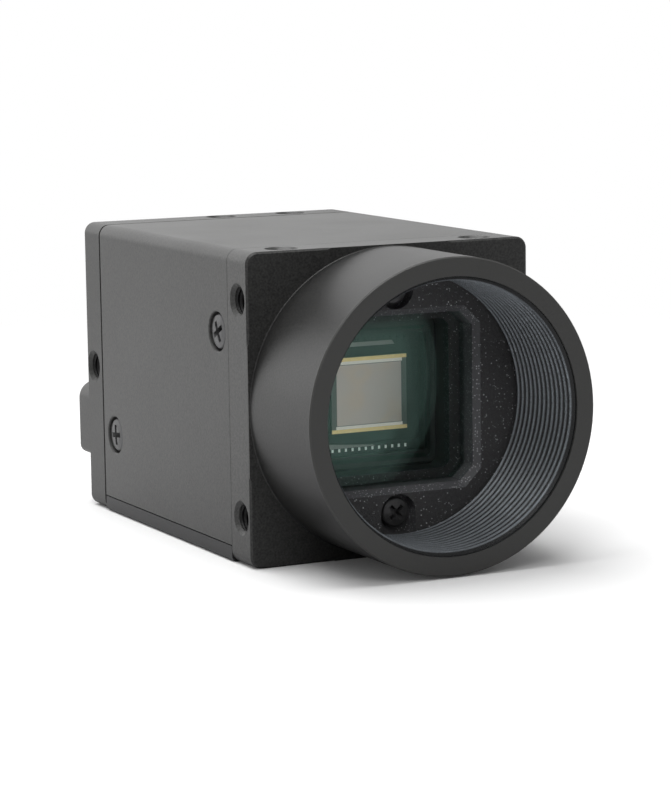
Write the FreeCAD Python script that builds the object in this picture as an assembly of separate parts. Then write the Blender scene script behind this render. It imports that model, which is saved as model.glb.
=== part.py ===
import FreeCAD, Part
import os

# Compact machine vision camera: a square aluminium body with a threaded lens
# barrel, an image sensor seen down the barrel, stacked circuit boards inside
# and a rear plate with the data and signal sockets. Millimetres, +Z up, lens
# towards -Y. While building, y = 0 is the front face of the body; every piece
# is moved to the row's origin as it is written.

os.makedirs("parts", exist_ok=True)
V = FreeCAD.Vector

# ---- body ----
body_size = 29.0          # width and height of the square section
half = body_size / 2
axis_z = half             # height of the lens axis
body_len = 39.7           # front face to the rear plate's outer face
corner_r = 1.1            # long edges of the body
front_t = 4.2             # front block
rear_t = 4.0              # rear plate
shell_t = 1.5             # wall of the cover
fold_r = 0.3              # inside of the cover's folds
base_t = 1.5              # base plate
base_edge_r = 0.5
front_gap = 0.06          # visible joint, front block to cover
rear_gap = 0.3            # visible joint, cover to rear plate
side_gap = 0.1            # cover legs above the base plate
bevel = 0.18              # broken edge of the front and rear faces
bevel_clear_r = 15.7      # the bevel stops where it passes the barrel

# ---- lens barrel and bore ----
barrel_inset = 0.15       # barrel to the body's side
barrel_wall = 1.75        # barrel to the thread's middle
relief_cut = 0.35         # relief groove beyond the thread
barrel_r = half - barrel_inset
barrel_len = 12.4
barrel_root_r = 0.07
rim_edge = 0.12
thread_r = barrel_r - barrel_wall
thread_len = 10.0
relief_r = thread_r + relief_cut
holder_depth = 11.2       # rim to the filter holder's front
flange_to_sensor = 17.526

# ---- allowances ----
over = 1.0                # cutters run past what they cut
fit_gap = 0.1             # between parts that slip together
screw_play = 0.05         # screw to its tapped hole
head_play = 0.05          # countersink beyond its head
shank_play = 0.15         # clearance round a base screw

# ---- inner frames that the cover is screwed to ----
frame_len = 4.6           # beyond the front block
frame_t = 2.4
rear_frame_len = 5.2
frame_corner_r = 0.8
frame_half = half - shell_t - fit_gap
cavity = 2 * (frame_half - frame_t)

# ---- filter holder ----
holder_t = 4.2
aperture_inset = 7.4      # aperture to the body's side
ledge_x = 1.1             # what carries the glass at each side
ledge_z = 0.9
aperture = body_size - 2 * aperture_inset
aperture_r = 1.0
window_w = aperture + 2 * ledge_x
window_h = aperture + 2 * ledge_z
window_cut = 1.35         # corners cut at 45 degrees
window_bevel = 0.57
glass_depth = 2.1         # holder's front down to the glass
glass_t = 1.0
holder_screw_inset = 2.55 # screw to the relief groove
holder_screw_pitch = 2 * (relief_r - holder_screw_inset)
counterbore_r = 1.8
counterbore_depth = 1.3
web_t = 1.6
web_skin = 0.2            # left at the end of the holder's tapped holes

# ---- image sensor ----
package_gap = 0.3         # package to the aperture round it
package_size = aperture - 2 * package_gap
package_t = 1.7
package_wall = 1.1
package_r = 0.4
die_margin = 2.85         # package edge to the die
die_w = package_size - 2 * die_margin
die_aspect = 0.9
die_h = die_aspect * die_w
die_t = 0.3
die_x = 0.3               # die sits off the package's middle
pad_strip_w = 0.35
pad_strip_t = 0.05
finger_count = 12
finger_ends = 0.3         # share of a pitch beyond the end fingers
finger_pitch = die_w / (finger_count - 1 + finger_ends)
finger_w = 0.2
finger_h = 0.3
finger_inset = 1.6        # package edge to the row's middle
finger_row = package_size / 2 - finger_inset
finger_step = 0.12        # finger shelf below the die's back
shelf_lip = 0.5           # row's middle to the shelf's inner edge
package_floor = 0.5       # ceramic behind the die
lid_t = 0.5
lid_edge = 0.5
seal_w = 0.9
seal_r = 2.0

# ---- boards ----
board_gap = 0.3           # board to the frame round it
board_size = cavity - 2 * board_gap
board_t = 1.2
board_r = 1.0
board_hole_inset = 1.6
board_hole_pitch = board_size - 2 * board_hole_inset
board_hole_r = 0.85
pillar_r = 1.5
rear_pillar_len = 2.7
spacer_len = 11.9
spacer_across = 3.0
stud_r = 0.75
stud_len = 3.0
stud_end_gap = 0.3        # stud to the bottom of its hole
stud_root = 0.5           # stud's end inside the spacer
tap_r = 0.8
header_edge = 4.2         # header's end to the board's side
header_w = board_size - 2 * header_edge
header_h = 3.0
plug_step = 0.5           # plug's end to the socket's
header_row = 6.6          # headers sit this far below the lens axis
socket_share = 0.5
chip_size = 9.0
chip_t = 1.3
memory_w = 4.0
memory_h = 5.6
memory_t = 1.0
memory_pitch = 7.0
processor_rise = 2.2      # processor sits this far above the lens axis

# ---- screws ----
cover_head_r = 1.55
cover_head_h = 0.9
cover_shank_r = 0.9
cover_shank_len = 2.4
cover_hole_r = 1.85
cover_hole_depth = 0.95
cover_hole_edge = 0.1
cover_clear_r = 1.1
small_head_r = 1.4
small_head_h = 0.9
small_shank_r = 0.7
small_shank_len = 3.9
board_screw_head_h = 0.8
board_screw_len = 3.4
flat_head_r = 1.7
flat_head_h = 0.9
flat_shank_len = 3.0
front_screw_back = 2.55   # cover screw behind the front block
front_screw_rise = 6.7    # above the lens axis
front_screw_z = axis_z + front_screw_rise
rear_screw_ahead = 3.15   # cover screw ahead of the rear plate
rear_screw_drop = 6.4     # below the lens axis
rear_screw_z = axis_z - rear_screw_drop
base_screw_inset = 7.5
base_screw_pitch = body_size - 2 * base_screw_inset

# ---- tapped mounting holes ----
mount_r = 1.25
mount_depth = 3.0
mount_bevel = 0.35
mount_inset = 4.5
mount_pitch = body_size - 2 * mount_inset
front_hole_y = 2.05
rear_hole_ahead = 1.8     # hole centre ahead of the rear face
top_extra_inset = 6.7     # extra top hole to the body's side
top_extra_x = half - top_extra_inset

# ---- rear plate, data socket and signal connector ----
pad_t = 2.75
pad_drop = 2.1            # pad's top below the lens axis
pad_h = 7.4
pad_z1 = axis_z - pad_drop
pad_z0 = pad_z1 - pad_h
pad_r_top = 1.7
pad_r_bottom = 0.9
usb_w = 12.3
usb_h = 2.9
usb_step = 4.2            # narrow part of the socket's mouth
usb_step_h = 2.2
usb_wall = 0.3
usb_proud = 0.3
usb_gap = 0.15
usb_tongue_t = 0.7
usb_r = 0.5               # corners of the wide field
usb_step_r = 0.4          # corners of the narrow field
usb_floor = 1.5           # socket's back wall
usb_tongue_in = 1.2       # mouth to the tongues' ends
usb_tongue_side = 1.1     # wide tongue to the walls beside it
usb_step_side = 0.8
usb_tongue_r = 0.1
usb_lap = 1.0             # overlap of the two fields
lock_reach = 3.1          # lock screw beyond the socket's end
lock_pitch = usb_w + 2 * lock_reach
lock_r = 0.8
lock_depth = 4.0
lock_edge = 0.15
io_r = 4.3
io_bore_r = 3.5
io_proud = 5.0
io_flange_r = 5.1
io_flange_t = 0.8
io_floor = 4.6            # mouth down to the insert
io_insert_t = 3.6
io_nut_r = 5.2
io_nut_t = 1.4
io_nut_gap = 0.4          # nut to the frame above it
io_side = 7.9             # connector to the frame's left wall
io_x = io_side - cavity / 2
io_z = axis_z + cavity / 2 - io_nut_r - io_nut_gap
io_tail = 0.6             # shell behind its nut
io_pin_r = 0.3
io_pin_ring = 1.75
io_pin_count = 6
io_pin_len = 3.2
light_side = 3.3          # light to the frame's right wall
light_x = cavity / 2 - light_side
light_z = io_z
light_r = 1.0
light_flange_r = 1.5
light_flange_t = 0.6

# ---- places worked out from the sizes above ----
cover_y0 = front_t + front_gap
rear_y0 = body_len - rear_t
cover_y1 = rear_y0 - rear_gap
rim_y = -barrel_len
holder_y0 = rim_y + holder_depth
holder_y1 = holder_y0 + holder_t
web_y1 = holder_y1 + web_t
glass_y0 = holder_y0 + glass_depth
glass_y1 = glass_y0 + glass_t
die_y0 = rim_y + flange_to_sensor
die_y1 = die_y0 + die_t
package_y1 = die_y1 + package_floor
package_y0 = package_y1 - package_t
board1_y0 = package_y1
board1_y1 = board1_y0 + board_t
board2_y0 = board1_y1 + spacer_len
board2_y1 = board2_y0 + board_t
board3_y1 = rear_y0 - rear_pillar_len
board3_y0 = board3_y1 - board_t
front_screw_y = front_t + front_screw_back
rear_screw_y = rear_y0 - rear_screw_ahead
rear_hole_y = body_len - rear_hole_ahead
pad_y1 = body_len + pad_t
usb_z = (pad_z0 + pad_z1) / 2
origin = V(0, (rim_y + body_len + io_proud) / 2, 0)


def rounded_wire(w, h, y, radii, cx=0.0, cz=axis_z):
    """Closed outline in the XZ plane; radii run from the top right corner
    anticlockwise as seen from -Y: top right, top left, bottom left, bottom right."""
    if not isinstance(radii, (list, tuple)):
        radii = [radii] * 4
    corners = [(1, 1), (-1, 1), (-1, -1), (1, -1)]
    edges, ends = [], []
    for (sx, sz), r in zip(corners, radii):
        x, z = cx + sx * w / 2, cz + sz * h / 2
        vertical_end = V(x, y, z - sz * r)
        level_end = V(x - sx * r, y, z)
        first, last = (vertical_end, level_end) if sx * sz > 0 else (level_end, vertical_end)
        if r > 0:
            k = r * (1 - 0.5 ** 0.5)
            middle = V(x - sx * k, y, z - sz * k)
            edges.append(Part.Arc(first, middle, last).toShape())
        ends.append((first, last))
    for i in range(4):
        a, b = ends[i][1], ends[(i + 1) % 4][0]
        edges.append(Part.LineSegment(a, b).toShape())
    return Part.Wire(Part.__sortEdges__(edges))


def prism(y0, y1, w, h, radii, cx=0.0, cz=axis_z):
    """Rounded rectangle from y0 to y1."""
    face = Part.Face(rounded_wire(w, h, y0, radii, cx, cz))
    return face.extrude(V(0, y1 - y0, 0))


def window_wire(y, grow):
    """Outline of the holder's window, its corners cut, wider all round by grow."""
    x, z = window_w / 2 + grow, window_h / 2 + grow
    cut = window_cut + grow * (2 - 2 ** 0.5)
    quarter = [(x, z - cut), (x - cut, z)]
    ring = quarter + [(-a, b) for a, b in quarter[::-1]]
    ring += [(-a, -b) for a, b in ring]
    points = [V(a, y, axis_z + b) for a, b in ring]
    return Part.makePolygon(points + points[:1])


def window_block(y0, y1, grow_0, grow_1):
    """Solid in the window's outline, wider by grow_0 at y0 and grow_1 at y1."""
    return Part.makeLoft([window_wire(y0, grow_0), window_wire(y1, grow_1)], True, True)


def rod(r, start, direction, length):
    """Round bar along a direction."""
    return Part.makeCylinder(r, length, start, direction)


def round_y(r, y0, y1, cx=0.0, cz=axis_z):
    """Round bar along Y."""
    return rod(r, V(cx, y0, cz), V(0, 1, 0), y1 - y0)


def revolved(profile, base, direction):
    """Solid of revolution from (radius, height) points, stood on base."""
    points = [V(r, 0, h) for r, h in profile]
    face = Part.Face(Part.makePolygon(points + points[:1]))
    solid = face.revolve(V(0, 0, 0), V(0, 0, 1), 360)
    solid.Placement = FreeCAD.Placement(base, FreeCAD.Rotation(V(0, 0, 1), direction))
    return solid


def tapped(mouth, inward, r, depth, edge):
    """Cutter for a tapped blind hole with a bevelled mouth."""
    return revolved([(0, -edge), (r + 2 * edge, -edge), (r, edge), (r, depth), (0, depth)],
                    mouth, V(inward).normalize())


def cut_all(shape, cutters):
    """Shape without any of the cutters."""
    return shape.cut(Part.makeCompound(cutters)) if cutters else shape


def join(first, *others):
    """One solid from pieces that meet."""
    return first.fuse(list(others)).removeSplitter()


def pan_screw(seat, outward, head_r, head_h, shank_r, length):
    """Pan head screw: the head's seat, the way the head points, its sizes."""
    return revolved([(0, -length), (shank_r, -length), (shank_r, 0), (head_r, 0),
                     (head_r, head_h), (0, head_h)], seat, outward)


def flat_screw(face, outward, head_r, head_h, shank_r, length):
    """Countersunk screw whose head is level with a face."""
    return revolved([(0, -length), (shank_r, -length), (shank_r, -head_h),
                     (head_r, 0), (0, 0)], face, outward)


def corners(pitch):
    """Four places about the lens axis."""
    p = pitch / 2
    return [(sx * p, axis_z + sz * p) for sx in (-1, 1) for sz in (-1, 1)]


def save(name, *solids):
    """Write one node, moved to the row's origin."""
    shape = solids[0] if len(solids) == 1 else Part.makeCompound(list(solids))
    moved = shape.copy()
    moved.translate(V(-origin.x, -origin.y, -origin.z))
    moved.exportStep("parts/" + name + ".step")


# ---- cutters for the tapped holes round the body ----
def side_holes(y, offset):
    """Tapped holes at +-offset from the middle of each of the four sides."""
    out = []
    for s in ((-1, 1) if offset else (1,)):
        o = s * offset
        for mouth, inward in ((V(-half, y, axis_z + o), V(1, 0, 0)),
                              (V(half, y, axis_z + o), V(-1, 0, 0)),
                              (V(o, y, body_size), V(0, 0, -1)),
                              (V(o, y, 0), V(0, 0, 1))):
            out.append(tapped(mouth, inward, mount_r, mount_depth, mount_bevel))
    return out


def cover_screw_places():
    """Places and outward directions of the four cover screws."""
    return [(V(s * half, y, z), V(s, 0, 0)) for s in (-1, 1)
            for y, z in ((front_screw_y, front_screw_z), (rear_screw_y, rear_screw_z))]


def base_screw_places():
    """Places of the four base screws on the underside."""
    return [V(s * base_screw_pitch / 2, y, 0) for s in (-1, 1)
            for y in (front_screw_y, rear_screw_y)]


def frame_taps():
    """Holes in the inner frames for the cover and base screws."""
    depth = shell_t + fit_gap + frame_t + over
    holes = [rod(tap_r, p - d * depth, d, depth) for p, d in cover_screw_places()]
    return holes + [rod(tap_r, p, V(0, 0, 1), base_t + fit_gap + frame_t + over)
                    for p in base_screw_places()]


# ---- front housing: block, lens barrel and inner frame in one piece ----
block = prism(0, front_t, body_size, body_size, corner_r)
outline = [e for e in block.Edges if max(v.Y for v in e.Vertexes) < 1e-6]
bevelled = block.makeChamfer(bevel, outline)
unbevelled = prism(0, 2 * bevel, body_size, body_size, corner_r).common(
    round_y(bevel_clear_r, 0, 2 * bevel))
barrel = revolved([(0, 0), (barrel_r + barrel_root_r, 0), (barrel_r, barrel_root_r),
                   (barrel_r, barrel_len - rim_edge), (barrel_r - rim_edge, barrel_len),
                   (0, barrel_len)], V(0, 0, axis_z), V(0, -1, 0))
frame = prism(front_t, front_t + frame_len, 2 * frame_half, 2 * frame_half, frame_corner_r)
front = join(bevelled, unbevelled, barrel.common(prism(rim_y, 0, body_size, body_size, 0)), frame)
bore = revolved([(0, -over), (thread_r, -over), (thread_r, thread_len), (relief_r, thread_len),
                 (relief_r, holder_y1 - rim_y), (0, holder_y1 - rim_y)],
                V(0, rim_y, axis_z), V(0, 1, 0))
front = cut_all(front, [
    bore,
    prism(web_y1, front_t + frame_len + over, cavity, cavity, frame_corner_r),
    prism(holder_y1 - over, web_y1 + over, aperture, aperture, aperture_r)])
front = join(front, *[round_y(pillar_r, web_y1, board1_y0, x, z)
                      for x, z in corners(board_hole_pitch)])
front = cut_all(front, side_holes(front_hole_y, mount_pitch / 2) + frame_taps()
                + [round_y(tap_r, board1_y0 - stud_len, board1_y0 + over, x, z)
                   for x, z in corners(board_hole_pitch)]
                + [round_y(tap_r, holder_y1 - over, web_y1 - web_skin, 0,
                          axis_z + s * holder_screw_pitch / 2)
                   for s in (-1, 1)])
save("front_housing", front)

# ---- filter holder: textured disc with a bevelled window, on the barrel's seat ----
holder = round_y(relief_r - fit_gap, holder_y0, holder_y1)
slots = []
for s in (-1, 1):
    z = axis_z + s * holder_screw_pitch / 2
    y1 = holder_y0 + counterbore_depth
    slots.append(round_y(counterbore_r, holder_y0 - over, y1, 0, z))
    slots.append(prism(holder_y0 - over, y1, 2 * counterbore_r, 4 * counterbore_r, 0,
                       0, z + s * 2 * counterbore_r))
    slots.append(round_y(small_shank_r + fit_gap, y1 - over, holder_y1 + over, 0, z))
holder = cut_all(holder, slots + [
    window_block(holder_y0, holder_y0 + window_bevel, window_bevel, 0),
    window_block(holder_y0 + window_bevel / 2, glass_y1, 0, 0),
    prism(glass_y1 - glass_t / 2, holder_y1 + over, aperture, aperture, aperture_r)])
save("filter_holder", holder)
save("holder_screws", *[
    pan_screw(V(0, holder_y0 + counterbore_depth, axis_z + s * holder_screw_pitch / 2), V(0, -1, 0),
              small_head_r, small_head_h, small_shank_r, small_shank_len) for s in (-1, 1)])
save("filter_glass", window_block(glass_y0, glass_y1, -fit_gap, -fit_gap))

# ---- image sensor: package, die, bond pads, lid glass and dust seal ----
shelf = package_size - 2 * package_wall
package = prism(package_y0, package_y1, package_size, package_size, package_r)
shelf_y = die_y1 - finger_step
deep_h = 2 * (finger_row - shelf_lip)
package = cut_all(package, [
    prism(package_y0 - over, shelf_y, shelf, shelf, package_r),
    prism(shelf_y - over, die_y1, shelf, deep_h, package_r)])
save("sensor_package", package)
save("sensor_die", prism(die_y0, die_y1, die_w, die_h, 0, die_x))
strips = [prism(die_y0 - pad_strip_t, die_y0, die_w, pad_strip_w, 0,
                die_x, axis_z + s * (die_h - pad_strip_w) / 2) for s in (-1, 1)]
fingers = [prism(shelf_y - pad_strip_t, shelf_y, finger_w, finger_h, 0,
                 die_x + (i - (finger_count - 1) / 2) * finger_pitch, axis_z + s * finger_row)
           for s in (-1, 1) for i in range(finger_count)]
save("sensor_bond_pads", *(strips + fingers))
save("sensor_lid_glass", prism(package_y0 - lid_t, package_y0, package_size - 2 * lid_edge,
                               package_size - 2 * lid_edge, package_r))
seal = prism(web_y1, board1_y0, package_size + 2 * fit_gap + 2 * seal_w,
             package_size + 2 * fit_gap + 2 * seal_w, seal_r)
seal = seal.cut(prism(web_y1 - over, board1_y0 + over, package_size + 2 * fit_gap,
                      package_size + 2 * fit_gap, package_r))
save("sensor_seal", seal)


# ---- circuit boards, spacers, screws and headers ----
def board(y0):
    """Square board with a hole at each corner."""
    return cut_all(prism(y0, y0 + board_t, board_size, board_size, board_r),
                   [round_y(board_hole_r, y0 - over, y0 + board_t + over, x, z)
                    for x, z in corners(board_hole_pitch)])


def spacer(x, z):
    """Hexagonal spacer whose stud holds the sensor board to the front housing."""
    a = spacer_across / 3 ** 0.5
    ring = [V(x + a * c, board1_y1, z + a * s) for c, s in
            ((1, 0), (0.5, 3 ** 0.5 / 2), (-0.5, 3 ** 0.5 / 2),
             (-1, 0), (-0.5, -3 ** 0.5 / 2), (0.5, -3 ** 0.5 / 2))]
    body = Part.Face(Part.makePolygon(ring + ring[:1])).extrude(V(0, spacer_len, 0))
    stud_y0 = board1_y1 - board_t - stud_len + stud_end_gap
    return join(body, round_y(stud_r, stud_y0, board1_y1 + stud_root, x, z)).cut(
        round_y(tap_r, board2_y0 - stud_len, board2_y0 + over, x, z))


save("sensor_board", board(board1_y0))
save("processor_board", board(board2_y0))
save("interface_board", board(board3_y0))
save("board_spacers", *[spacer(x, z) for x, z in corners(board_hole_pitch)])
board_screws = [pan_screw(V(x, board2_y1, z), V(0, 1, 0), small_head_r, board_screw_head_h,
                          small_shank_r, board_screw_len) for x, z in corners(board_hole_pitch)]
board_screws += [pan_screw(V(x, board3_y0, z), V(0, -1, 0), small_head_r, board_screw_head_h,
                           small_shank_r, board_screw_len) for x, z in corners(board_hole_pitch)]
save("board_screws", *board_screws)
spans = [(board1_y1, board2_y0), (board3_y0, board2_y1)]
header_z = axis_z - header_row
sockets, plugs = [], []
for far, near in spans:
    split = near + (far - near) * socket_share
    sockets.append(prism(min(far, split), max(far, split), header_w, header_h, 0, 0, header_z))
    plugs.append(prism(min(split, near), max(split, near), header_w - 2 * plug_step,
                       header_h - 2 * plug_step, 0, 0, header_z))
save("board_sockets", *sockets)
save("board_plugs", *plugs)
chip_z = axis_z + processor_rise
save("processor_chip", prism(board2_y0 - chip_t, board2_y0, chip_size, chip_size, 0, 0, chip_z))
save("memory_chips", *[prism(board2_y1, board2_y1 + memory_t, memory_w, memory_h, 0,
                             s * memory_pitch / 2, chip_z) for s in (-1, 1)])

# ---- cover: folded top and sides, with counterbored screw holes ----
outer = prism(cover_y0, cover_y1, body_size, body_size, corner_r)
inner = prism(cover_y0 - over, cover_y1 + over, body_size - 2 * shell_t, 2 * body_size, fold_r,
              0, body_size - shell_t - body_size)
below = prism(cover_y0 - over, cover_y1 + over, 2 * body_size, body_size, 0,
              0, base_t + side_gap - half)
cover = cut_all(outer, [inner, below])
for p, d in cover_screw_places():
    edge = cover_hole_edge
    cover = cut_all(cover, [revolved([(0, -edge), (cover_hole_r + 2 * edge, -edge), (cover_hole_r, edge),
                                      (cover_hole_r, cover_hole_depth), (cover_clear_r, cover_hole_depth),
                                      (cover_clear_r, shell_t + over), (0, shell_t + over)], p, -d)])
save("cover_shell", cover)
seat = cover_hole_depth
save("cover_screws", *[pan_screw(p - d * seat, d, cover_head_r, cover_head_h, tap_r - screw_play,
                                 cover_shank_len) for p, d in cover_screw_places()])

# ---- base plate and its countersunk screws ----
base = prism(cover_y0, cover_y1, body_size, base_t, (0, 0, base_edge_r, base_edge_r),
             0, base_t / 2)
sink_r = flat_head_r + head_play
sink_hole_r = cover_shank_r + shank_play
base = cut_all(base, [revolved([(0, -over), (sink_r + over, -over), (sink_r, 0),
                                (sink_hole_r, flat_head_h), (sink_hole_r, base_t + over),
                                (0, base_t + over)], p, V(0, 0, 1)) for p in base_screw_places()])
save("base_plate", base)
save("base_screws", *[flat_screw(p, V(0, 0, -1), flat_head_r, flat_head_h, tap_r - screw_play,
                                 flat_shank_len) for p in base_screw_places()])

# ---- rear plate: plate, raised pad round the data socket, inner frame ----
plate = prism(rear_y0, body_len, body_size, body_size, corner_r)
outline = [e for e in plate.Edges if min(v.Y for v in e.Vertexes) > body_len - 1e-6]
plate = plate.makeChamfer(bevel, outline)
pad = prism(body_len - 2 * bevel, pad_y1, body_size, pad_h,
            (pad_r_top, pad_r_top, pad_r_bottom, pad_r_bottom), 0, (pad_z0 + pad_z1) / 2)
pad_face = [e for e in pad.Edges if min(v.Y for v in e.Vertexes) > pad_y1 - 1e-6]
pad = pad.makeChamfer(bevel, pad_face)
rear_frame = prism(rear_y0 - rear_frame_len, rear_y0, 2 * frame_half, 2 * frame_half,
                   frame_corner_r).cut(
    prism(rear_y0 - rear_frame_len - over, rear_y0, cavity, cavity, frame_corner_r))
rear = join(plate, pad, rear_frame, *[round_y(pillar_r, board3_y1, rear_y0, x, z)
                                      for x, z in corners(board_hole_pitch)])


def usb_section(y0, y1, grow):
    """Two-part outline of the data socket: a wide and a narrow field."""
    w, h = usb_w + 2 * grow, usb_h + 2 * grow
    wide = prism(y0, y1, w - usb_step, h, usb_r + grow, -usb_step / 2, usb_z)
    step_w = usb_step + usb_lap
    narrow = prism(y0, y1, step_w, usb_step_h + 2 * grow, usb_step_r + grow,
                   (w - step_w) / 2, usb_z - (usb_h - usb_step_h) / 2)
    return join(wide, narrow)


rear = cut_all(rear, side_holes(rear_hole_y, 0) + frame_taps() + [
    tapped(V(top_extra_x, rear_hole_y, body_size), V(0, 0, -1), mount_r, mount_depth, mount_bevel),
    usb_section(rear_y0 - over, pad_y1 + over, usb_gap),
    round_y(io_r + fit_gap, rear_y0 - over, body_len + over, io_x, io_z),
    round_y(light_r + screw_play, rear_y0 - over, body_len + over, light_x, light_z)]
    + [tapped(V(s * lock_pitch / 2, pad_y1, usb_z), V(0, -1, 0), lock_r, lock_depth, lock_edge)
       for s in (-1, 1)]
    + [round_y(tap_r, board3_y1 - over, board3_y1 + stud_len, x, z)
       for x, z in corners(board_hole_pitch)])
save("rear_plate", rear)

# ---- data socket ----
usb_y1 = pad_y1 + usb_proud
shell = usb_section(board3_y1, usb_y1, 0).cut(usb_section(board3_y1 + usb_floor, usb_y1 + over, -usb_wall))
save("usb_shell", shell)
tongue_w = usb_w - usb_step - 2 * usb_tongue_side
narrow_w = usb_step - 2 * usb_step_side
tongue = prism(board3_y1 + usb_floor, usb_y1 - usb_tongue_in, tongue_w, usb_tongue_t,
               usb_tongue_r, -usb_step / 2, usb_z)
narrow_tongue = prism(board3_y1 + usb_floor, usb_y1 - usb_tongue_in, narrow_w, usb_tongue_t,
                      usb_tongue_r, (usb_w - usb_step) / 2, usb_z - (usb_h - usb_step_h) / 2)
save("usb_tongues", tongue, narrow_tongue)

# ---- signal connector: threaded shell, ring nut, insert and pins ----
io_y1 = body_len + io_proud
insert_y1 = io_y1 - io_floor
insert_y0 = insert_y1 - io_insert_t
io_back = rear_y0 - io_nut_t - io_tail
io_shell = join(round_y(io_r, io_back, io_y1, io_x, io_z),
                round_y(io_flange_r, body_len, body_len + io_flange_t, io_x, io_z))
io_shell = cut_all(io_shell, [round_y(io_bore_r, io_back - over, io_y1 + over, io_x, io_z)])
save("io_shell", io_shell)
save("io_nut", round_y(io_nut_r, rear_y0 - io_nut_t, rear_y0, io_x, io_z).cut(
    round_y(io_r + screw_play, rear_y0 - io_nut_t - over, rear_y0 + over, io_x, io_z)))
pin_places = []
for i in range(io_pin_count):
    turn = FreeCAD.Rotation(V(0, 1, 0), 360.0 / io_pin_count * (i + 0.5))
    pin_places.append(turn.multVec(V(io_pin_ring, 0, 0)) + V(io_x, 0, io_z))
insert = cut_all(round_y(io_bore_r, insert_y0, insert_y1, io_x, io_z),
                 [round_y(io_pin_r, insert_y0 - over, insert_y1 + over, p.x, p.z) for p in pin_places])
save("io_insert", insert)
save("io_pins", *[round_y(io_pin_r, board3_y1, insert_y1 + io_pin_len, p.x, p.z)
                  for p in pin_places])

# ---- status light: flanged light pipe from the board to the rear face ----
save("status_light", join(round_y(light_r, board3_y1, body_len, light_x, light_z),
                          round_y(light_flange_r, rear_y0 - light_flange_t, rear_y0,
                                  light_x, light_z)))
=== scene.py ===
import math

import bmesh
import bpy
from mathutils import Matrix, Vector


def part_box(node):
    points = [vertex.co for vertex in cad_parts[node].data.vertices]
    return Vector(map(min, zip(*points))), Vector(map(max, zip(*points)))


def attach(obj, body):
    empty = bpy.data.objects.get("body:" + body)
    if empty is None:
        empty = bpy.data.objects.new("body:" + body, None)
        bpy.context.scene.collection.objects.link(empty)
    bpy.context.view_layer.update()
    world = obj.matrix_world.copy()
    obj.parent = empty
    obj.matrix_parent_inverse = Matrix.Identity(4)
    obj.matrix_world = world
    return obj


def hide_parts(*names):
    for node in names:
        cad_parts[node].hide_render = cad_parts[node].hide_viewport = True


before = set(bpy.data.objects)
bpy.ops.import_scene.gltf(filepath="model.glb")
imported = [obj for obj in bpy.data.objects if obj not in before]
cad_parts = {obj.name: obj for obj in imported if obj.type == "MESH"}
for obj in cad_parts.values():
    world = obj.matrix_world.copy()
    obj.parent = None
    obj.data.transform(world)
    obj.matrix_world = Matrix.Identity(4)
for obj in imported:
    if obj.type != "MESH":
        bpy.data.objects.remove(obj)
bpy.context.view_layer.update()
MM = 0.001


# ---- front housing ----
# The block, the lens barrel and the inner frame are turned and milled from one
# piece of aluminium, blasted to a fine grain and anodised a satin black. On that
# one coat the colour paints light and shade: the front face and the barrel are
# darker as painted shade, the side walls and the rim lighter as painted light,
# and the bore near black as painted shade. The web behind the filter is a pale grey.
class Value:
    """A node's output whose sums are written as Python and become Math nodes."""

    def __init__(self, finish, socket):
        self.finish = finish
        self.socket = socket

    def math(self, operation, *values):
        inputs = dict(enumerate(values))
        return self.finish.node("ShaderNodeMath", {"operation": operation}, inputs)

    def __add__(self, other):
        return self.math("ADD", self, other)

    def __radd__(self, other):
        return self.math("ADD", other, self)

    def __sub__(self, other):
        return self.math("SUBTRACT", self, other)

    def __rsub__(self, other):
        return self.math("SUBTRACT", other, self)

    def __mul__(self, other):
        return self.math("MULTIPLY", self, other)

    def __rmul__(self, other):
        return self.math("MULTIPLY", other, self)

    def __truediv__(self, other):
        return self.math("DIVIDE", self, other)

    def __gt__(self, other):
        return self.math("GREATER_THAN", self, other)

    def __lt__(self, other):
        return self.math("LESS_THAN", self, other)

    def __abs__(self):
        return self.math("ABSOLUTE", self)

    def clamped(self, low=0.0, high=1.0):
        return self.math("MINIMUM", self.math("MAXIMUM", self, low), high)

    def output(self, name):
        """Another output of the same node."""
        return Value(self.finish, self.socket.node.outputs[name])


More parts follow.
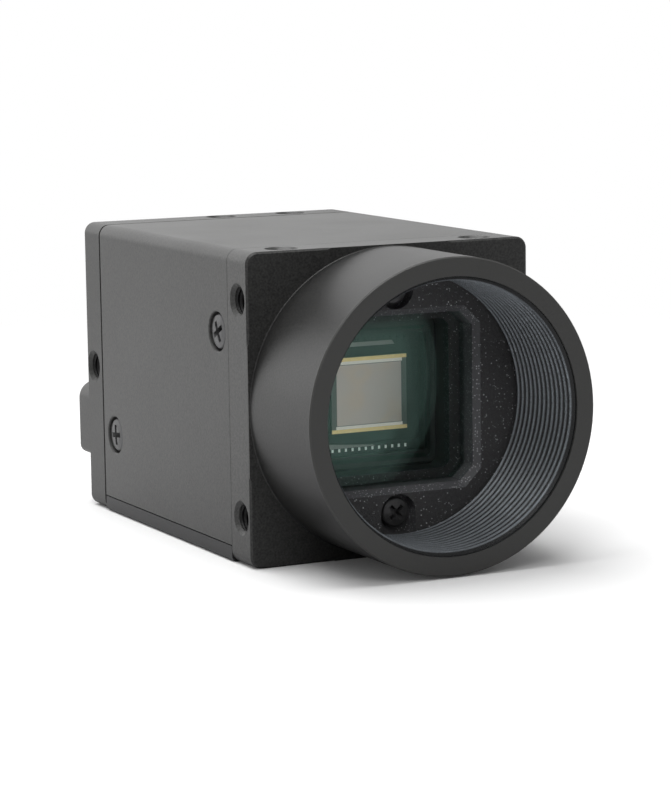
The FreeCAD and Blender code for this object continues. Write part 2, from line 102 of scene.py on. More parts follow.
class Finish:
    """One procedural material, built from nodes by type, settings and sockets."""

    def __init__(self, name):
        self.material = bpy.data.materials.new(name)
        self.material.use_nodes = True
        self.tree = self.material.node_tree
        self.tree.nodes.clear()
        self.output = self.tree.nodes.new("ShaderNodeOutputMaterial")

    def node(self, kind, settings=None, inputs=None, result=0):
        """Adds a node: its settings first, then the values or links of its sockets."""
        node = self.tree.nodes.new(kind)
        for name, value in (settings or {}).items():
            if name == "stops":
                ramp = node.color_ramp.elements
                while len(ramp) < len(value):
                    ramp.new(0.5)
                for stop, (place, colour) in zip(ramp, value):
                    stop.position = place
                    stop.color = (*colour, 1)
            else:
                setattr(node, name, value)
        for name, value in (inputs or {}).items():
            if isinstance(value, Value):
                self.tree.links.new(value.socket, node.inputs[name])
            else:
                node.inputs[name].default_value = value
        return Value(self, node.outputs[result])

    def place(self):
        """Place on the piece, in metres."""
        return self.node("ShaderNodeTexCoord", result="Object")

    def axes(self):
        """The three parts of the place on the piece."""
        split = self.node("ShaderNodeSeparateXYZ", inputs={0: self.place()})
        return [split.output(axis) for axis in "XYZ"]

    def noise(self, size, detail=2.0, roughness=0.5):
        """Noise whose spots are about this size, in metres."""
        return self.node("ShaderNodeTexNoise", inputs={
            "Vector": self.place(), "Scale": 1 / size, "Detail": detail,
            "Roughness": roughness}, result="Fac")

    def blend(self, share, first, second):
        """A colour between two."""
        sockets = {"Factor": share, 6: first, 7: second}
        return self.node("ShaderNodeMix", {"data_type": "RGBA"}, sockets, 2)

    def bump(self, height, depth):
        """Normal of a surface raised by up to this depth, in metres."""
        return self.node("ShaderNodeBump", inputs={"Height": height, "Distance": depth},
                         result="Normal")

    def surface(self, inputs):
        """Takes the Principled surface with these sockets as the material."""
        self.show(self.node("ShaderNodeBsdfPrincipled", inputs=inputs))

    def show(self, shader):
        """Takes a shader as the surface of the material."""
        self.tree.links.new(shader.socket, self.output.inputs["Surface"])

    def dress(self, *names):
        """Gives this finish to CAD nodes."""
        for name in names:
            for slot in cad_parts[name].material_slots:
                slot.material = self.material


def rgb(red, green, blue):
    return (red, green, blue, 1.0)


def grey(level, cool=0.0):
    """Grey whose blue part differs a little from its red and green parts."""
    return rgb(level, level, level + cool)


def blasted(finish, grain):
    """Faint clouding, a fine, even grain, and how the two share a coat's two tones."""
    cloud = finish.noise(9 * MM, 3.0)
    speck = finish.noise(grain, 3.0, 0.6)
    share = cloud * 0.4 + (speck - 0.5) * 2.5 + 0.3
    return cloud, speck, share.clamped()


def coat(finish, colour, cloud, speck, depth, rough):
    """A satin surface whose roughness and relief follow its clouding and its grain."""
    finish.surface({
        "Base Color": colour,
        "Roughness": rough + 0.12 * (cloud - 0.5) + 0.1 * (speck - 0.5),
        "Normal": finish.bump(speck, depth),
        "IOR": 1.5,
    })


def satin_metal(name, dark, light, grain, depth, rough):
    """A blasted and coated surface between two tones; grain and depth are in metres."""
    finish = Finish(name)
    cloud, speck, share = blasted(finish, grain)
    coat(finish, finish.blend(share, dark, light), cloud, speck, depth, rough)
    return finish


def from_lens_axis(x, z):
    """Distance from the lens axis."""
    rise = z - axis_z
    return x.math("SQRT", x * x + rise * rise)


body_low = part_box("front_housing")[0]
cover_low, cover_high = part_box("cover_shell")
axis_z = cover_high.z / 2
block_length = 4.26 * MM
front_face = cover_low.y - block_length
seat_depth = 14 * MM
black_anodised = Finish("black_anodised")
x, y, z = black_anodised.axes()
inside = from_lens_axis(x, z) < 12.98 * MM
rim = y < body_low.y + 0.2 * MM
bore = inside * (y > body_low.y + 0.5 * MM) * (y < body_low.y + seat_depth)
web = inside * (y > body_low.y + seat_depth)
side_walls = y > front_face + 0.25 * MM
barrel = y < front_face - 0.05 * MM
cloud, speck, share = blasted(black_anodised, 0.2 * MM)
# Painted light and shade on the one coat: a darker front face, lighter side walls, a darker barrel
# and a lighter rim.
shaded_front_face = black_anodised.blend(share, grey(0.012), grey(0.050, -0.002))
lit_side_wall_tone = black_anodised.blend(share, grey(0.030, -0.001), grey(0.082, -0.002))
shaded_barrel_tone = black_anodised.blend(share, grey(0.008), grey(0.036, -0.001))
outside = black_anodised.blend(side_walls, shaded_front_face, lit_side_wall_tone)
outside = black_anodised.blend(barrel, outside, shaded_barrel_tone)
outside = black_anodised.blend(rim, outside, grey(0.056, -0.002))
# Painted shade: the bore, with the groove behind the thread, is near black.
bore_in_painted_shade = black_anodised.blend(bore, outside, grey(0.008, 0.001))
coat(black_anodised, black_anodised.blend(web, bore_in_painted_shade, grey(0.20)), cloud, speck, 0.012 * MM, 0.42)
black_anodised.dress("front_housing")


# ---- lens thread ----
# The one inch thread is cut inside the barrel, 32 turns to the inch. Its crests
# are flat and carry a painted highlight, broken into painted glints along the
# turns; here the turns stand just inside the bore's wall.
def piece(name, mesh_or_bm, finish, replaced=()):
    """Adds a mesh to the scene as a named piece of the camera."""
    mesh = mesh_or_bm
    if isinstance(mesh_or_bm, bmesh.types.BMesh):
        bmesh.ops.recalc_face_normals(mesh_or_bm, faces=mesh_or_bm.faces)
        mesh = bpy.data.meshes.new(name)
        mesh_or_bm.to_mesh(mesh)
        mesh_or_bm.free()
    made = bpy.data.objects.new(name, mesh)
    bpy.context.scene.collection.objects.link(made)
    mesh.materials.clear()
    mesh.materials.append(finish.material)
    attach(made, "root")
    if replaced:
        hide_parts(*replaced)
    return made


def thread_sleeve(crest, root, outer, pitch, length, steps):
    """Closed ring along +Z whose inner wall is a thread; z = 0 is its first end."""
    bm = bmesh.new()
    flat = 0.16 * pitch
    middle = (crest + root) / 2
    lead_in = 1.2
    profile = ((0, root), (flat, root), (0.33 * pitch, middle), (pitch / 2, crest),
               (pitch / 2 + flat, crest), (0.83 * pitch, middle))
    turns = int(length / pitch) + 3
    lines = []
    for turn in range(turns):
        for rise, radius in profile:
            line = []
            for step in range(steps + 1):
                angle = 2 * math.pi * step / steps
                z = (turn - 1.5 + step / steps) * pitch + rise
                r = min(outer, max(radius, outer - lead_in * z))
                line.append(bm.verts.new((r * math.cos(angle), r * math.sin(angle), z)))
            lines.append(line)
    for low, high in zip(lines, lines[1:]):
        for step in range(steps):
            bm.faces.new((low[step], low[step + 1], high[step + 1], high[step]))
    bmesh.ops.remove_doubles(bm, verts=bm.verts, dist=1e-8)
    ends = []
    for height, side in ((0.0, -1), (length, 1)):
        everything = bm.verts[:] + bm.edges[:] + bm.faces[:]
        bmesh.ops.bisect_plane(bm, geom=everything, plane_co=(0, 0, height),
                               plane_no=(0, 0, side), clear_outer=True)
        rim = [e for e in bm.edges if e.is_boundary
               and all(abs(v.co.z - height) < 1e-7 for v in e.verts)]
        out = bmesh.ops.extrude_edge_only(bm, edges=rim)["geom"]
        for vert in (g for g in out if isinstance(g, bmesh.types.BMVert)):
            scale = outer / math.hypot(vert.co.x, vert.co.y)
            vert.co.x *= scale
            vert.co.y *= scale
        ends += [g for g in out if isinstance(g, bmesh.types.BMEdge)]
    bmesh.ops.bridge_loops(bm, edges=ends)
    return bm


def pointed(start, direction):
    """Puts what is built along +Z at a place, pointing along a direction."""
    turn = Vector(direction).to_track_quat("Z", "Y").to_matrix().to_4x4()
    return Matrix.Translation(start) @ turn


lens_pitch = 25.4 * MM / 32
lens_bore = 12.6 * MM
lens_thread_length = 10.1 * MM
lens_thread_start = 0.2 * MM
cut_thread = Finish("cut_thread")
x, y, z = cut_thread.axes()
machining_and_glints = cut_thread.noise(0.11 * MM, 4.0, 0.7)
# Painted highlight on the thread crests, broken into painted glints; the roots keep the dark coat.
crest_line, crest_fade = lens_bore - 0.27 * MM, 0.1 * MM
crest = ((crest_line - from_lens_axis(x, z)) / crest_fade).clamped()
painted_crest_glints = ((machining_and_glints - 0.44) * 5).clamped()
cut_thread.surface({
    "Base Color": cut_thread.blend(crest * (0.35 + 0.65 * painted_crest_glints), rgb(0.022, 0.023, 0.024),
                                   rgb(0.36, 0.395, 0.43)),
    "Metallic": 0.5,
    "Roughness": 0.35 - 0.15 * painted_crest_glints,
    "Normal": cut_thread.bump(machining_and_glints, 0.02 * MM),
    "IOR": 1.6,
})
lens_thread = thread_sleeve(lens_bore - 0.45 * MM, lens_bore - 0.03 * MM, lens_bore - 0.005 * MM,
                            lens_pitch, lens_thread_length, 240)
lens_thread.transform(pointed((0, body_low.y + lens_thread_start, axis_z), (0, 1, 0)))
piece("lens_thread_turns", lens_thread, cut_thread)


# ---- threads of the mounting holes ----
# Tapped M3 holes take the screws of a mounting bracket: four pairs round the
# front block and single ones round the rear plate.
def tapped_turns(mouth, inward, radii, pitch, length, depth):
    """A tapped hole's thread; radii are its crest, root and outer ones, in millimetres."""
    sleeve = thread_sleeve(*(radius * MM for radius in radii), pitch, length, 32)
    sleeve.transform(pointed(Vector(mouth) + Vector(inward) * depth, inward))
    return sleeve


def m3_turns(mouth, inward):
    """The thread of an M3 hole that starts a little below its mouth."""
    return tapped_turns(mouth, inward, (1.10, 1.23, 1.245), 0.5 * MM, 2.4 * MM, 0.5 * MM)


def joined(parts):
    """One bmesh from several."""
    whole = bmesh.new()
    for part in parts:
        mesh = bpy.data.meshes.new("part")
        part.to_mesh(mesh)
        part.free()
        whole.from_mesh(mesh)
        bpy.data.meshes.remove(mesh)
    return whole


# Painted shade: the walls and threads of the tapped holes are near black.
shaded_hole_wall = satin_metal("shaded_hole_wall", grey(0.003), grey(0.010, 0.001), 0.08 * MM, 0.01 * MM, 0.55)
rear_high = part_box("rear_plate")[1]
side = cover_high.x
body_top = cover_high.z
front_row = front_face + 2.05 * MM
pad_rise = 2.75 * MM
rear_row = rear_high.y - pad_rise - 1.8 * MM
mount_reach = 10.0 * MM
second_top_hole = 7.8 * MM
front_mounts = []
for s in (-1, 1):
    front_mounts.append(m3_turns((-side, front_row, axis_z + s * mount_reach), (1, 0, 0)))
    front_mounts.append(m3_turns((side, front_row, axis_z + s * mount_reach), (-1, 0, 0)))
    front_mounts.append(m3_turns((s * mount_reach, front_row, body_top), (0, 0, -1)))
    front_mounts.append(m3_turns((s * mount_reach, front_row, 0), (0, 0, 1)))
piece("front_mount_threads", joined(front_mounts), shaded_hole_wall)
rear_mounts = [
    m3_turns((-side, rear_row, axis_z), (1, 0, 0)),
    m3_turns((side, rear_row, axis_z), (-1, 0, 0)),
    m3_turns((0, rear_row, body_top), (0, 0, -1)),
    m3_turns((second_top_hole, rear_row, body_top), (0, 0, -1)),
    m3_turns((0, rear_row, 0), (0, 0, 1)),
]
piece("rear_mount_threads", joined(rear_mounts), shaded_hole_wall)
socket_low, socket_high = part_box("usb_shell")
socket_z = (socket_low.z + socket_high.z) / 2
lock_reach = 9.25 * MM
lock_threads = [
    tapped_turns((s * lock_reach, rear_high.y, socket_z), (0, -1, 0),
                 (0.66, 0.78, 0.795), 0.4 * MM, 2.8 * MM, 0.25 * MM)
    for s in (-1, 1)]
piece("lock_screw_threads", joined(lock_threads), shaded_hole_wall)


# ---- filter holder ----
# A moulded or cast disc, coated with a coarse black paint whose bumps kill
# stray light. It lies on the barrel's seat and carries the filter glass. Single
# grains are smoother and carry white painted glints, more of them on the bevels,
# and the bevels are painted lighter as painted light.
def along_axis(finish):
    """How squarely a face looks along the lens axis, from 0 to 1."""
    normal = finish.node("ShaderNodeNewGeometry", result="True Normal")
    return abs(finish.node("ShaderNodeSeparateXYZ", inputs={0: normal}, result="Y"))


coarse_black = Finish("coarse_black")
lumps = coarse_black.noise(0.22 * MM, 3.0, 0.7)
grit = coarse_black.noise(0.07 * MM, 2.0)
grains = coarse_black.node("ShaderNodeTexVoronoi", {"feature": "F1"}, {
    "Vector": coarse_black.place(), "Scale": 1 / (0.14 * MM)}, "Distance")
chance = coarse_black.node("ShaderNodeSeparateXYZ", inputs={0: grains.output("Color")})
pick, size = chance.output("X"), chance.output("Y")
# Painted glints: single grains get a white colour, more often on the bevels, which also get a
# lighter colour as painted light.
bevel = along_axis(coarse_black) < 0.9
painted_glint = (pick > 0.86 - 0.20 * bevel) * (grains < 0.16 + 0.3 * size)
flat = coarse_black.blend(lumps, grey(0.034, 0.002), grey(0.12, 0.004))
dull = coarse_black.blend(bevel, flat, grey(0.15, 0.01))
coarse_black.surface({
    "Base Color": coarse_black.blend(painted_glint, dull, rgb(0.95, 0.97, 1.0)),
    "Roughness": 0.42 - 0.20 * painted_glint,
    "Metallic": 0.3 * painted_glint,
    "Normal": coarse_black.bump(lumps * 0.6 + grit * 0.4, 0.12 * MM),
    "IOR": 1.6,
})
coarse_black.dress("filter_holder")


# ---- cross recess screws ----
# Steel pan head screws with a cross recess, blackened. Two hold the filter
# holder and four the cover, sunk in counterbores; the base has flat heads.
def lathe(profile, steps):
    """Solid of revolution about Z from (radius, height) points; the ends are on the axis."""
    bm = bmesh.new()
    rings = []
    for radius, height in profile:
        if radius == 0:
            rings.append([bm.verts.new((0, 0, height))])
        else:
            rings.append([bm.verts.new((radius * math.cos(2 * math.pi * k / steps),
                                        radius * math.sin(2 * math.pi * k / steps), height))
                          for k in range(steps)])
    for low, high in zip(rings, rings[1:]):
        for k in range(steps):
            corners = [low[k % len(low)], low[(k + 1) % len(low)],
                       high[(k + 1) % len(high)], high[k % len(high)]]
            unique = list(dict.fromkeys(corners))
            if len(unique) > 2:
                bm.faces.new(unique)
    return bm


def cross_cutter(reach, width, depth, top):
    """Tapered cross that is cut from a screw's head."""
    end_taper, side_taper, flare, stand = 0.55, 0.7, 1.05, 0.2
    bm = bmesh.new()
    for a, b, along, across in ((reach, width / 2, end_taper, side_taper),
                                (width / 2, reach, side_taper, end_taper)):
        corners = [(-a, -b), (a, -b), (a, b), (-a, b)]
        low = [bm.verts.new((x * along, y * across, top - depth)) for x, y in corners]
        high = [bm.verts.new((x * flare, y * flare, top + stand * depth)) for x, y in corners]
        bm.faces.new(low[::-1])
        bm.faces.new(high)
        for k in range(4):
            bm.faces.new((low[k], low[(k + 1) % 4], high[(k + 1) % 4], high[k]))
    return bm


def carved(body, cutter):
    """The mesh that is left when a cutter is taken from a body."""
    made = []
    for name, bm in (("body", body), ("cutter", cutter)):
        bmesh.ops.recalc_face_normals(bm, faces=bm.faces)
        mesh = bpy.data.meshes.new(name)
        bm.to_mesh(mesh)
        bm.free()
        thing = bpy.data.objects.new(name, mesh)
        bpy.context.scene.collection.objects.link(thing)
        made.append(thing)
    cut = made[0].modifiers.new("cut", "BOOLEAN")
    cut.object = made[1]
    cut.operation = "DIFFERENCE"
    cut.solver = "EXACT"
    cut.use_self = True
    seen = made[0].evaluated_get(bpy.context.evaluated_depsgraph_get())
    mesh = bpy.data.meshes.new_from_object(seen)
    for thing in made:
        bpy.data.objects.remove(thing)
    return mesh


black_steel = Finish("black_steel")
wipe = black_steel.noise(0.4 * MM, 3.0)
black_steel.surface({
    "Base Color": black_steel.blend(wipe, grey(0.05, 0.002), grey(0.12, 0.002)),
    "Roughness": 0.22 + 0.2 * wipe,
    "Metallic": 0.4,
    "Normal": black_steel.bump(wipe, 0.01 * MM),
})


def pan_screw(name, seat, outward, sizes, spin, replaced):
    """Cross recess pan screw; sizes are head radius and height, shank radius and length."""
    head_r, head_h, shank_r, length = (size * MM for size in sizes)
    edge = 0.3 * head_h
    profile = [(0, -length), (0.75 * shank_r, -length), (shank_r, -length + 0.4 * shank_r),
               (shank_r, 0), (head_r, 0)]
    for k in range(5):
        angle = math.pi / 2 * k / 4
        profile.append((head_r - edge + edge * math.cos(angle),
                        head_h - 1.4 * edge + edge * math.sin(angle)))
    profile += [(0.5 * head_r, head_h - 0.1 * edge), (0, head_h)]
    body = lathe(profile, 48)
    cutter = cross_cutter(0.66 * head_r, 0.3 * head_r, 0.75 * head_h, head_h)
    mesh = carved(body, cutter)
    mesh.transform(pointed(seat, outward) @ Matrix.Rotation(spin, 4, "Z"))
    piece(name, mesh, black_steel, replaced)


screw_low, screw_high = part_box("holder_screws")
holder_head = (1.4, 0.9, 0.7, 3.9)
holder_seat = screw_low.y + holder_head[1] * MM
holder_reach = (screw_high.z - screw_low.z) / 2 - holder_head[0] * MM
for label, s, spin in (("upper", 1, 0.35), ("lower", -1, 0.75)):
    pan_screw("holder_screw_" + label, (0, holder_seat, axis_z + s * holder_reach), (0, -1, 0),
              holder_head, spin, ["holder_screws"])

cover_head = (1.66, 0.9, 0.75, 2.4)
cover_seat = side - 0.95 * MM
cover_places = ((cover_low.y + 2.49 * MM, axis_z + 6.7 * MM),
                (cover_high.y - 2.85 * MM, axis_z - 6.4 * MM))
for s, hand in ((-1, "left"), (1, "right")):
    for (y, z), end, spin in zip(cover_places, ("front", "rear"), (0.5, 0.1)):
        pan_screw("cover_screw_%s_%s" % (hand, end), (s * cover_seat, y, z), (s, 0, 0),
                  cover_head, spin, ["cover_screws"])

# ---- filter glass ----
# A millimetre thick infrared filter with a faintly green coating, glued on the
# holder's ledge. It mirrors a little of the bright room.
coated_glass = Finish("coated_glass")
clear = coated_glass.node("ShaderNodeBsdfTransparent", inputs={"Color": rgb(0.965, 0.975, 0.970)})
streak = coated_glass.noise(6 * MM, 2.0)
mirror = coated_glass.node("ShaderNodeBsdfPrincipled", inputs={
    "Base Color": coated_glass.blend(streak, rgb(0.34, 0.60, 0.52), rgb(0.38, 0.66, 0.56)),
    "Metallic": 1.0, "Roughness": 0.0})
share = coated_glass.node("ShaderNodeFresnel", inputs={"IOR": 1.5})
share = share * (along_axis(coated_glass) > 0.9)
coated_glass.show(coated_glass.node("ShaderNodeMixShader", inputs={0: share, 1: clear, 2: mirror}))
coated_glass.dress("filter_glass", "sensor_lid_glass")

# ---- image sensor ----
# A ceramic package holds the polished silicon die, whose grey picture area lies
# between bright strips and gold pads. Two plated tracks and rows of small bond
# pads are on the package's shelf, and a foam frame seals it to the web.
ceramic = satin_metal("dark_ceramic", rgb(0.055, 0.062, 0.060), rgb(0.085, 0.094, 0.090),
                      0.12 * MM, 0.004 * MM, 0.4)
ceramic.dress("sensor_package")

die_low, die_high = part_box("sensor_die")
silicon = Finish("silicon")
x, y, z = silicon.axes()
across = x - (die_low.x + die_high.x) / 2
up = abs(z - (die_low.z + die_high.z) / 2)
picture = (abs(across) < 3.4 * MM) * (up < 2.85 * MM)
margin = (abs(across) < 3.5 * MM) * (up > 2.9 * MM) * (up < 3.2 * MM)
tint = silicon.noise(3.5 * MM, 1.0)
rainbow = silicon.node("ShaderNodeValToRGB", {"stops": [
    (0.30, (0.92, 0.77, 0.76)), (0.5, (0.94, 0.77, 0.74)), (0.62, (0.99, 0.76, 0.66)),
    (0.75, (0.92, 0.78, 0.76))]}, {0: tint})
dull = silicon.blend(picture, rgb(0.30, 0.28, 0.28), rainbow)
# Painted glow: the die gives off a faint light, weak over the picture area and strong on the
# bright strips.
painted_picture_glow = silicon.blend(picture, rgb(0, 0, 0), rgb(0.26, 0.21, 0.20))
silicon.surface({
    "Base Color": silicon.blend(margin, dull, rgb(1.0, 0.93, 0.88)),
    "Metallic": 0.7,
    "Roughness": 0.30 + 0.1 * (1 - picture),
    "Emission Color": silicon.blend(margin, painted_picture_glow, rgb(1.0, 0.9, 0.84)),
    "Emission Strength": 0.25,
})
silicon.dress("sensor_die")

gold = Finish("gold_plate")
tarnish = gold.noise(0.3 * MM, 2.0)
x, y, z = gold.axes()
edge = 0.1 * MM
strip = (z > die_low.z - edge) * (z < die_high.z + edge)
bare = z > die_high.z + edge
plated = gold.blend(tarnish, rgb(0.86, 0.62, 0.26), rgb(1.0, 0.80, 0.42))
silvered = gold.blend(strip, rgb(0.85, 0.88, 0.86), plated)
gold.surface({
    "Base Color": gold.blend(bare, silvered, rgb(0.04, 0.05, 0.045)),
    "Metallic": 1 - bare,
    "Roughness": 0.25 + 0.2 * tarnish,
    # Painted glow: the plated pads and fingers give off a faint light of their own colour.
    "Emission Color": gold.blend(bare, silvered, rgb(0, 0, 0)),
    "Emission Strength": 0.25,
})
gold.dress("sensor_bond_pads")

pin_gold = Finish("pin_gold")
tarnish = pin_gold.noise(0.3 * MM, 2.0)
pin_gold.surface({
    "Base Color": pin_gold.blend(tarnish, rgb(0.72, 0.52, 0.22), rgb(0.88, 0.70, 0.36)),
    "Metallic": 1.0,
    "Roughness": 0.25 + 0.2 * tarnish,
})
pin_gold.dress("io_pins")

bright_plate = Finish("bright_plate")
brushed = bright_plate.noise(0.25 * MM, 3.0)
bright_plate.surface({
    "Base Color": bright_plate.blend(brushed, rgb(0.50, 0.47, 0.46), rgb(0.62, 0.59, 0.58)),
    "Metallic": 0.6,
    "Roughness": 0.30 + 0.1 * brushed,
})
tracks = bmesh.new()
shelf_front = die_high.y - 0.12 * MM
track_height = 0.06
lower_track = ((-4.0, 9.5), (1.0, 9.5), (0.6, 9.62), (-4.0, 9.95))
upper_track = ((-1.6, 19.04), (3.1, 19.04), (2.8, 19.43), (-1.6, 19.43))
for outline in (lower_track, upper_track):
    back, front = ([tracks.verts.new((x * MM, shelf_front - depth * MM, z * MM))
                    for x, z in outline] for depth in (0.0, track_height))
    tracks.faces.new(back)
    tracks.faces.new(front[::-1])
    for k in range(4):
        tracks.faces.new((back[k - 1], back[k], front[k], front[k - 1]))
piece("sensor_tracks", tracks, bright_plate)

foam = satin_metal("foam_rubber", grey(0.05), grey(0.08), 0.25 * MM, 0.06 * MM, 0.85)
foam.dress("sensor_seal")

# ---- circuit boards ----
# Fibreglass boards under a green mask, with moulded chips and headers, held on
# nickel plated spacers. They are shut inside the cover.
solder_mask = satin_metal("solder_mask", rgb(0.012, 0.085, 0.05), rgb(0.02, 0.12, 0.07), 0.5 * MM,
                          0.02 * MM, 0.35)
solder_mask.dress("sensor_board", "processor_board", "interface_board")
moulded_black = satin_metal("moulded_black", grey(0.018, 0.001), grey(0.035, 0.002),
                            0.1 * MM, 0.01 * MM, 0.5)
moulded_black.dress("processor_chip", "memory_chips", "board_sockets", "board_plugs",
                    "usb_tongues", "io_insert")
nickel = Finish("nickel_plate")
bloom = nickel.noise(0.8 * MM, 3.0)
nickel.surface({
    "Base Color": nickel.blend(bloom, rgb(0.42, 0.41, 0.39), rgb(0.60, 0.59, 0.56)),
    "Metallic": 1.0,
    "Roughness": 0.24 + 0.14 * bloom,
})
nickel.dress("board_spacers", "board_screws", "io_shell", "io_nut", "usb_shell")

# ---- signal connector ----
# The round six pin socket has a turned, nickel plated brass shell. A fine thread
# outside takes the plug's ring, and a keyway inside turns the plug the right way.
shell_low, shell_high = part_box("io_shell")
shell_length = shell_high.y - shell_low.y
bore_r, root_r, crest_r, flange_r = 3.5, 4.1, 4.3, 5.1
tail = -shell_length / MM
thread_foot, thread_pitch = -3.85, 0.5
outline = [(bore_r, tail), (crest_r, tail), (crest_r, -5.0), (flange_r, -5.0),
           (flange_r, -4.35), (flange_r - 0.15, -4.2), (root_r, -4.2), (root_r, thread_foot)]
for turn in range(7):
    foot = thread_foot + thread_pitch * turn
    outline += [(crest_r, foot + 0.15), (crest_r, foot + 0.28),
                (root_r, foot + 0.43), (root_r, foot + thread_pitch)]
outline += [(root_r, 0), (bore_r + 0.18, 0), (bore_r, -0.18), (bore_r, tail)]
shell = lathe([(radius * MM, height * MM) for radius, height in outline], 96)
bmesh.ops.remove_doubles(shell, verts=shell.verts, dist=1e-8)
keyway = bmesh.new()
bmesh.ops.create_cube(keyway, size=1, matrix=Matrix.Translation((0, bore_r * MM, -1.6 * MM))
                      @ Matrix.Diagonal((1.0 * MM, 0.8 * MM, 3.8 * MM, 1)))
mesh = carved(shell, keyway)
centre = (shell_low + shell_high) / 2
mesh.transform(Matrix.Translation((centre.x, shell_high.y, centre.z))
               @ Matrix.Rotation(-math.pi / 2, 4, "X"))
piece("signal_shell", mesh, nickel, ["io_shell"])

# ---- cover ----
# One piece of sheet aluminium folded over the top and both sides, with a satin
# grey coat. Two screws on each side hold it to the frames inside.
grey_coat = satin_metal("grey_coat", grey(0.034, -0.001), grey(0.074, -0.002),
                        0.2 * MM, 0.016 * MM, 0.42)
grey_coat.dress("cover_shell")

# ---- base plate ----
# A flat aluminium plate, coated darker than the cover, closes the underside.
# Four flat head screws, sunk level with its face, hold it.
base_coat = satin_metal("base_coat", grey(0.014, 0.001), grey(0.024, 0.001),
                        0.12 * MM, 0.010 * MM, 0.42)
base_coat.dress("base_plate")
flat_low, flat_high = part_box("base_screws")
flat_r, flat_h, shank_r, shank_end, point = 1.7 * MM, 0.9 * MM, 0.75 * MM, 3 * MM, 0.3 * MM
flat_screw = [(0, -shank_end), (0.55 * MM, -shank_end), (shank_r, point - shank_end),
              (shank_r, -flat_h), (flat_r - 0.06 * MM, -0.06 * MM), (flat_r - 0.1 * MM, 0),
              (0, 0)]
for x, hand in ((flat_low.x + flat_r, "left"), (flat_high.x - flat_r, "right")):
    for y, end in ((flat_low.y + flat_r, "front"), (flat_high.y - flat_r, "rear")):
        cutter = cross_cutter(0.62 * flat_r, 0.28 * flat_r, 0.6 * MM, 0)
        mesh = carved(lathe(flat_screw, 48), cutter)
        mesh.transform(pointed((x, y, flat_low.z), (0, 0, -1)))
        piece("base_screw_%s_%s" % (hand, end), mesh, black_steel, ["base_screws"])
black_steel.dress("base_screws", "cover_screws", "holder_screws")

# ---- rear plate ----
# Milled from one piece of aluminium, with a raised pad round the data socket,
# and coated a little darker than the cover. It closes the rear end.
rear_coat = satin_metal("rear_coat", grey(0.024, -0.001), grey(0.056, -0.002),
                        0.2 * MM, 0.016 * MM, 0.42)
rear_coat.dress("rear_plate")

# ---- status light ----
# A short rod of clear plastic in a hole of the rear plate. It carries the glow
# of a lamp on the board to the rear face.
light_pipe = Finish("light_pipe")
frost = light_pipe.noise(0.5 * MM, 2.0)
light_pipe.surface({
    "Base Color": light_pipe.blend(frost, rgb(0.45, 0.62, 0.45), rgb(0.60, 0.75, 0.58)),
    "Roughness": 0.15 + 0.15 * frost,
    "Transmission Weight": 0.3,
})
light_pipe.dress("status_light")


# ---- floor, room and lights ----
# A white floor runs into a white room that is brighter behind than in front.
# One large soft lamp hangs above, and a small one before the left shoulder.
floor_finish = Finish("white_floor")
dust = floor_finish.noise(0.2, 2.0)
ray = floor_finish.node("ShaderNodeLightPath", result="Is Camera Ray")
paper = floor_finish.blend(dust, rgb(0.95, 0.95, 0.95), rgb(0.97, 0.97, 0.97))
x, y, z = floor_finish.axes()
dim_end, dim_fade = -0.02, 0.08
behind = ((y - dim_end) / dim_fade).clamped()
table = floor_finish.blend(behind, rgb(0.45, 0.45, 0.455), rgb(0.80, 0.80, 0.80))
white = floor_finish.node("ShaderNodeBsdfDiffuse", inputs={
    "Color": floor_finish.blend(ray, table, paper)})
glow = floor_finish.node("ShaderNodeEmission", inputs={"Color": rgb(1, 1, 1), "Strength": 1.0})
away = floor_finish.node("ShaderNodeVectorMath", {"operation": "LENGTH"}, {
    0: floor_finish.place()}, "Value")
shade_reach, shade_fade = 0.06, 0.12
far = ((away - shade_reach) / shade_fade).clamped(0.02)
floor_finish.show(floor_finish.node("ShaderNodeMixShader", inputs={
    0: ray * far, 1: white, 2: glow}))
floor_bm = bmesh.new()
floor_reach = 6.0
bmesh.ops.create_grid(floor_bm, x_segments=2, y_segments=2, size=floor_reach)
floor_mesh = bpy.data.meshes.new("floor")
floor_bm.to_mesh(floor_mesh)
floor_bm.free()
floor = bpy.data.objects.new("floor", floor_mesh)
floor.location.z = -0.02 * MM
floor_mesh.materials.append(floor_finish.material)
bpy.context.scene.collection.objects.link(floor)


class Room(Finish):
    """The light that comes from all round, built from nodes as a finish is."""

    def __init__(self, name):
        self.world = bpy.data.worlds.new(name)
        self.world.use_nodes = True
        self.tree = self.world.node_tree
        self.tree.nodes.clear()
        self.output = self.tree.nodes.new("ShaderNodeOutputWorld")


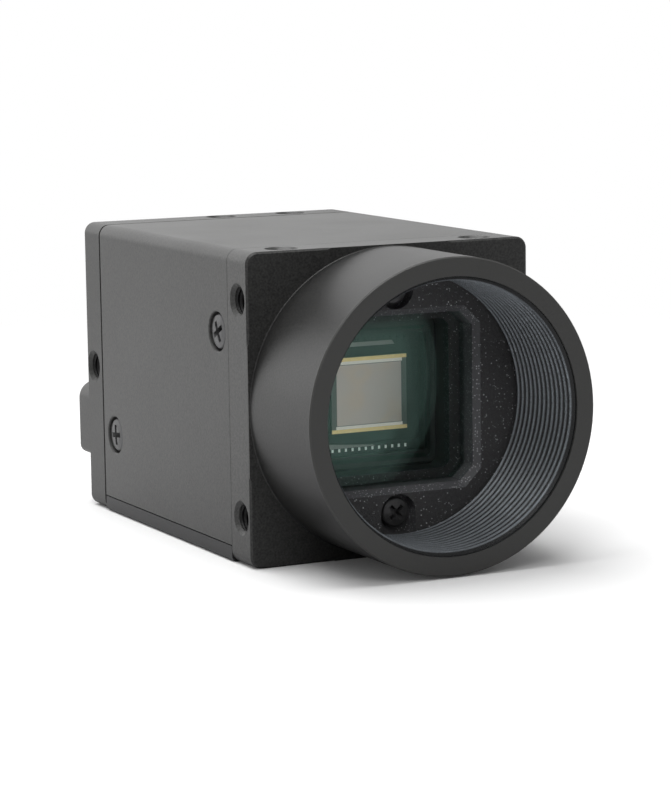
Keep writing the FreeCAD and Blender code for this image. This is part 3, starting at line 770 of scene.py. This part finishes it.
room = Room("room")
split = room.node("ShaderNodeSeparateXYZ", inputs={
    0: room.node("ShaderNodeTexCoord", result="Generated")})
x, y, z = (split.output(axis) for axis in "XYZ")
towards = -0.25 * x + 0.97 * y - 0.05 * z
towards = towards.math("MAXIMUM", towards, 0.0)
level = 0.32 + 1.4 * towards * towards
ray = room.node("ShaderNodeLightPath", result="Is Camera Ray")
around = room.node("ShaderNodeBackground", inputs={"Strength": level})
behind = room.node("ShaderNodeBackground", inputs={"Strength": 1.0})
for shade in (around, behind):
    shade.socket.node.inputs["Color"].default_value = rgb(1, 1, 1)
room.show(room.node("ShaderNodeMixShader", inputs={0: ray, 1: around, 2: behind}))
bpy.context.scene.world = room.world


def soft_lamp(name, place, size, power):
    """Square lamp that faces the camera body."""
    lamp = bpy.data.lights.new(name, "AREA")
    lamp.size = size
    lamp.energy = power
    stand = bpy.data.objects.new(name, lamp)
    stand.location = place
    stand.rotation_mode = "QUATERNION"
    stand.rotation_quaternion = (-Vector(place)).to_track_quat("-Z", "Y")
    bpy.context.scene.collection.objects.link(stand)


soft_lamp("upper_lamp", (-0.08, 0.06, 0.60), 0.5, 3.5)
soft_lamp("front_lamp", (-0.25, -0.40, 0.42), 0.2, 0.55)

# ---- camera ----
# The whole body is seen from the front left and a little above, through a long
# lens, with the lens mount towards the viewer.
azimuth, elevation, roll = (math.radians(angle) for angle in (-26.036, 8.218, -0.84))
distance = 278.83 * MM
target = Vector((-3.299 * MM, -11.15 * MM, 14.187 * MM))
back = Vector((math.sin(azimuth) * math.cos(elevation), -math.cos(azimuth) * math.cos(elevation),
               math.sin(elevation)))
right = Vector((0, 0, 1)).cross(back).normalized()
upward = back.cross(right)
turned_right = math.cos(roll) * right + math.sin(roll) * upward
turned_up = math.cos(roll) * upward - math.sin(roll) * right
eye = bpy.data.objects.new("eye", bpy.data.cameras.new("eye"))
eye.data.lens = 134.13
eye.data.sensor_width = 36.0
eye.data.clip_start, eye.data.clip_end = 0.01, 50.0
eye.rotation_mode = "QUATERNION"
eye.rotation_quaternion = Matrix((turned_right, turned_up, back)).transposed().to_quaternion()
eye.location = target + back * distance
bpy.context.scene.collection.objects.link(eye)
bpy.context.scene.camera = eye
bpy.context.scene.view_settings.view_transform = "Standard"
